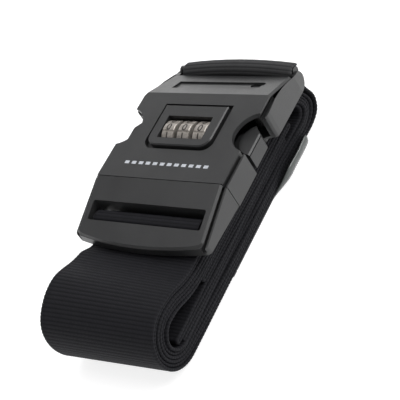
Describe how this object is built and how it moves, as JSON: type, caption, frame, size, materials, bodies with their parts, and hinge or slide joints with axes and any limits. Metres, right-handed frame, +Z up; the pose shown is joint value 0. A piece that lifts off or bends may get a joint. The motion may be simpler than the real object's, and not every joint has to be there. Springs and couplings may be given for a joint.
{
  "type": "luggage strap",
  "caption": "Black webbing luggage strap folded flat, with a side-squeeze buckle, a three-dial combination lock and a clear name pocket.",
  "frame": {"origin": "bottom centre of the folded bundle's bounding box", "axes": "+X across the webbing, +Y from the front fold to the fold under the lock's end bar, +Z up, out of the dials"},
  "size_m": [0.063, 0.1336, 0.0386],
  "materials": {
    "buckle_plastic": "fine satin texture",
    "bezel_plastic": "satin",
    "dial_enamel": "satin, dark digits",
    "lock_parts": "plain",
    "steel": "plain",
    "webbing": "cross-ribbed polyester weave",
    "seam_tape": "plain weave",
    "clear_film": "clear vinyl",
    "backing_film": "black vinyl",
    "card": "uncoated paper card"
  },
  "bodies": {
    "tongue_half": {"tongue_frame": "buckle_plastic", "webbing_main_run": "webbing", "webbing_tail_coil": "webbing", "pocket_window": "clear_film", "name_card": "card", "pocket_backing": "backing_film", "pocket_seams": "seam_tape"},
    "right_prong": {"right_prong": "buckle_plastic"},
    "left_prong": {"left_prong": "buckle_plastic"},
    "lock_housing": {"top_cover": "buckle_plastic", "bottom_cover": "buckle_plastic", "dial_bezel": "bezel_plastic", "dial_axle": "steel", "cover_screws": "steel", "locking_springs": "steel", "detent_spring": "steel", "reset_spring": "steel", "webbing_anchor_loop": "webbing"},
    "locking_plate": {"locking_plate": "lock_parts"},
    "dial_1": {"dial_wheel_1": "dial_enamel", "code_sleeve_1": "lock_parts"},
    "dial_2": {"dial_wheel_2": "dial_enamel", "code_sleeve_2": "lock_parts"},
    "dial_3": {"dial_wheel_3": "dial_enamel", "code_sleeve_3": "lock_parts"},
    "reset_button": {"reset_button": "lock_parts"}
  },
  "joints": [
    {"name": "unbuckle", "type": "slide", "parent": "tongue_half", "child": "lock_housing", "axis": [0, 1, 0], "range_m": [0, 0.036]},
    {"name": "right_squeeze", "type": "hinge", "parent": "tongue_half", "child": "right_prong", "pos_m": [0.0224, -0.00133, 0.0285], "axis": [0, 0, 1], "range_deg": [0, 6.4], "stiffness_Nm_per_rad": 1, "deforming": ["right_prong"]},
    {"name": "left_squeeze", "type": "hinge", "parent": "tongue_half", "child": "left_prong", "pos_m": [-0.0224, -0.00133, 0.0285], "axis": [0, 0, 1], "range_deg": [-6.4, 0], "stiffness_Nm_per_rad": 1, "deforming": ["left_prong"]},
    {"name": "plate_travel", "type": "slide", "parent": "lock_housing", "child": "locking_plate", "axis": [0, 1, 0], "range_m": [0, 0.00135], "deforming": ["locking_springs"]},
    {"name": "dial_turn_1", "type": "hinge", "parent": "lock_housing", "child": "dial_1", "pos_m": [-0.0075, 0.02318, 0.0319], "axis": [1, 0, 0], "continuous": true},
    {"name": "dial_turn_2", "type": "hinge", "parent": "lock_housing", "child": "dial_2", "pos_m": [0, 0.02318, 0.0319], "axis": [1, 0, 0], "continuous": true},
    {"name": "dial_turn_3", "type": "hinge", "parent": "lock_housing", "child": "dial_3", "pos_m": [0.0075, 0.02318, 0.0319], "axis": [1, 0, 0], "continuous": true},
    {"name": "reset_press", "type": "slide", "parent": "lock_housing", "child": "reset_button", "axis": [0, -0.4012, -0.916], "range_m": [0, 0.0015], "stiffness_N_per_m": 200, "deforming": ["reset_spring"]}
  ],
  "couplings": [
    {"joint": "left_squeeze", "follows": "right_squeeze", "ratio": -1},
    {"joint": "plate_travel", "follows": "right_squeeze", "m_per_rad": 0.012085}
  ]
}
